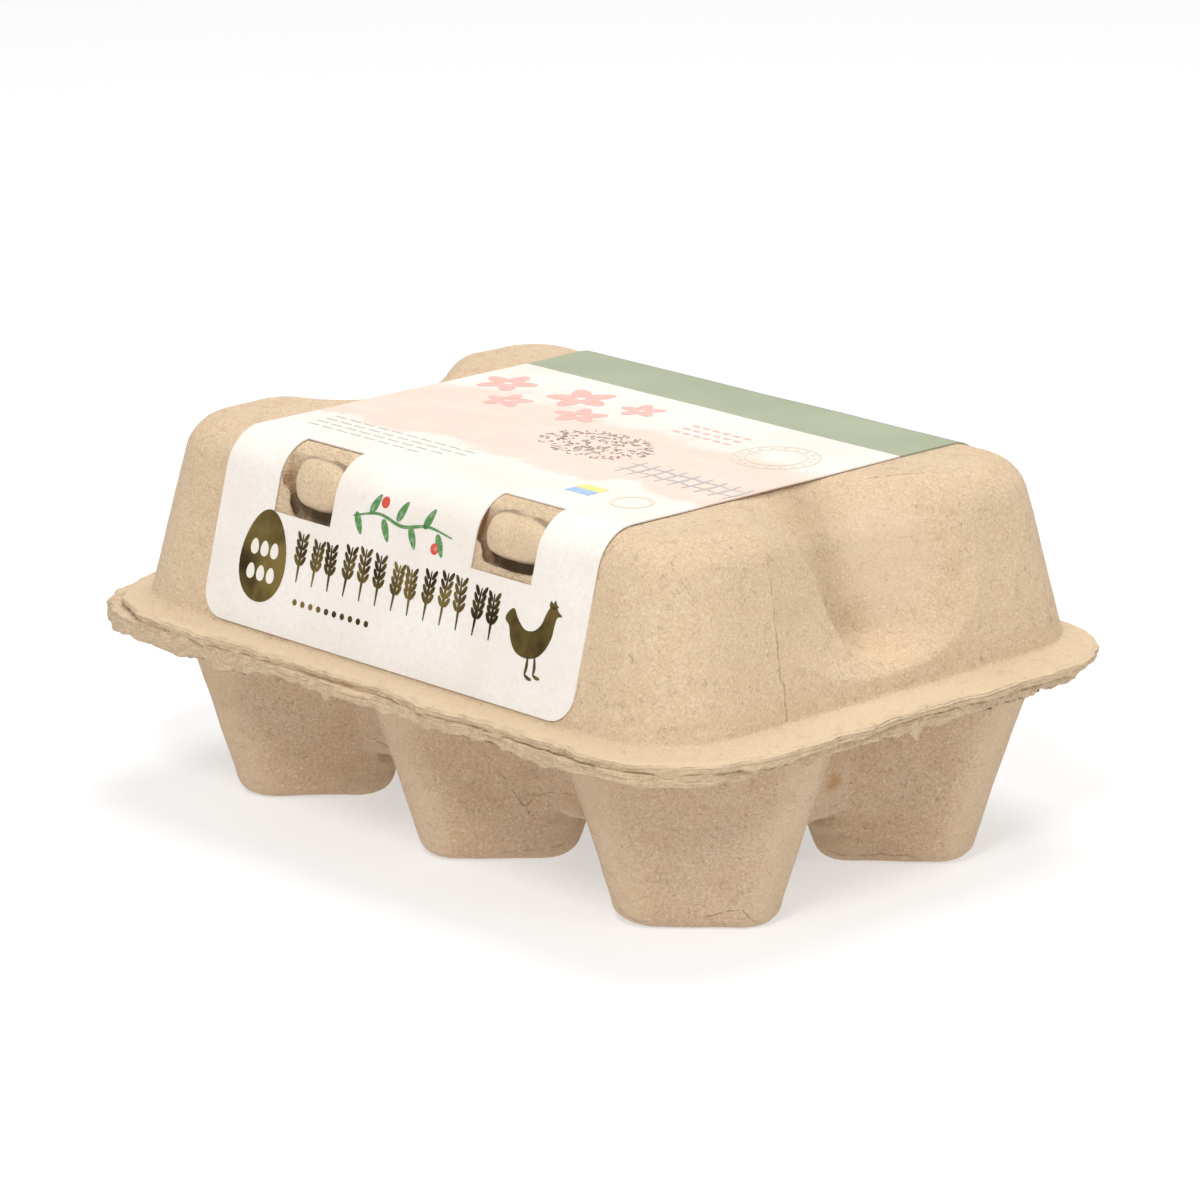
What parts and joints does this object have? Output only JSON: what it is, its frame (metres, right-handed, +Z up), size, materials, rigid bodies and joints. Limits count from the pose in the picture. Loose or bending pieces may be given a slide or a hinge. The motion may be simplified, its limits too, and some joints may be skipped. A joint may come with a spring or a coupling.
{
  "type": "egg carton",
  "caption": "Shut moulded-pulp carton for eggs: scooped lid over a tray of tapered cell feet, latch windows and a wrapped paper label.",
  "frame": {"origin": "middle of the carton's outline on the surface it stands on", "axes": "+X along the long front side, -Y is the front with the latch windows, +Z up"},
  "size_m": [0.153, 0.1141, 0.0675],
  "materials": {
    "lid_pulp": "rough tan moulded pulp",
    "tray_pulp": "rough brown moulded pulp",
    "label_paper": "matt uncoated paper"
  },
  "bodies": {
    "root": {"tray": "tray_pulp", "lid": "lid_pulp", "latch_left": "lid_pulp", "latch_right": "lid_pulp", "label": "label_paper"}
  },
  "joints": []
}
